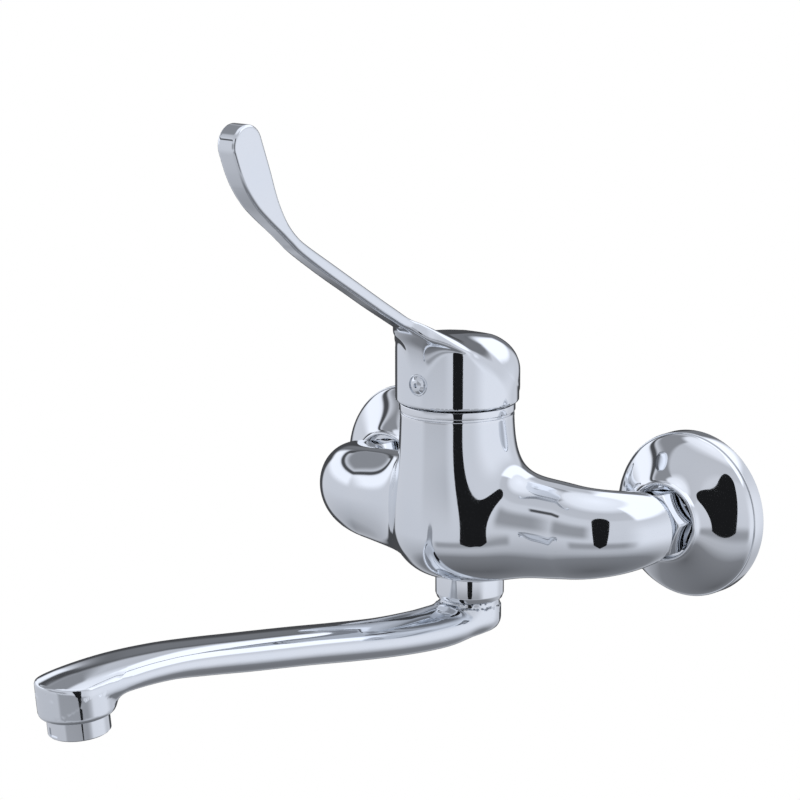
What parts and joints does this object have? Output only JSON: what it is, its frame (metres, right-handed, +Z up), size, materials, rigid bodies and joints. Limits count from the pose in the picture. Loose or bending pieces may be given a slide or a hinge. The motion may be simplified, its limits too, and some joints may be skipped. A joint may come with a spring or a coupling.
{
  "type": "elbow lever wall tap",
  "caption": "Wall-mounted mixer tap with a crossbar body, a long elbow lever raised over a round cap, and a flat swivelling spout below.",
  "frame": {"origin": "midpoint between the hot and cold supply centres, on the finished wall surface", "axes": "+X to the right along the wall as the user faces it, +Y into the wall, +Z up"},
  "size_m": [0.2198, 0.2849, 0.2345],
  "materials": {
    "body_chrome": "polished chrome plate",
    "trim_chrome": "polished chrome plate",
    "handle_chrome": "polished chrome plate",
    "spout_chrome": "polished chrome plate",
    "plain_brass": "machined brass",
    "black_rubber": "matt black rubber",
    "white_plastic": "satin white plastic",
    "grey_plastic": "satin grey plastic",
    "valve_ceramic": "lapped ceramic",
    "steel": "stainless steel"
  },
  "bodies": {
    "mixer": {"s_union_left": "body_chrome", "s_union_right": "body_chrome", "wall_flange_left": "trim_chrome", "wall_flange_right": "trim_chrome", "union_washer_left": "black_rubber", "union_washer_right": "black_rubber", "union_nut_left": "trim_chrome", "union_nut_right": "trim_chrome", "inlet_tail_left": "plain_brass", "inlet_tail_right": "plain_brass", "mixer_body": "body_chrome", "cartridge_seals": "black_rubber", "cartridge_base": "white_plastic", "fixed_disc": "valve_ceramic", "cartridge_housing": "white_plastic", "retaining_nut": "plain_brass", "trim_ring": "trim_chrome", "spout_nut": "trim_chrome"},
    "guide": {"stem_guide": "grey_plastic", "pivot_pin": "steel"},
    "lever": {"stem": "steel", "lever_handle": "handle_chrome", "grub_screw": "steel", "index_button": "handle_chrome"},
    "valve_disc": {"moving_disc": "valve_ceramic", "disc_carrier": "grey_plastic"},
    "spout": {"spout": "spout_chrome", "slip_ring": "white_plastic", "swivel_seals": "black_rubber", "aerator_washer": "black_rubber", "aerator_insert": "white_plastic", "aerator_shell": "trim_chrome"}
  },
  "joints": [
    {"name": "temperature_swing", "type": "hinge", "parent": "mixer", "child": "guide", "pos_m": [0, -0.0657, 0.03], "axis": [0, 0, 1], "range_deg": [-50, 50]},
    {"name": "lever_lift", "type": "hinge", "parent": "guide", "child": "lever", "pos_m": [0, -0.0657, 0.03], "axis": [-1, 0, 0], "range_deg": [0, 20]},
    {"name": "valve_slide", "type": "slide", "parent": "guide", "child": "valve_disc", "axis": [0, -1, 0], "range_m": [0, 0.00445]},
    {"name": "spout_swivel", "type": "hinge", "parent": "mixer", "child": "spout", "pos_m": [0, -0.0569, -0.04], "axis": [0, 0, 1], "range_deg": [-80, 100]}
  ],
  "couplings": [
    {"joint": "valve_slide", "follows": "lever_lift", "m_per_rad": 0.0127}
  ]
}
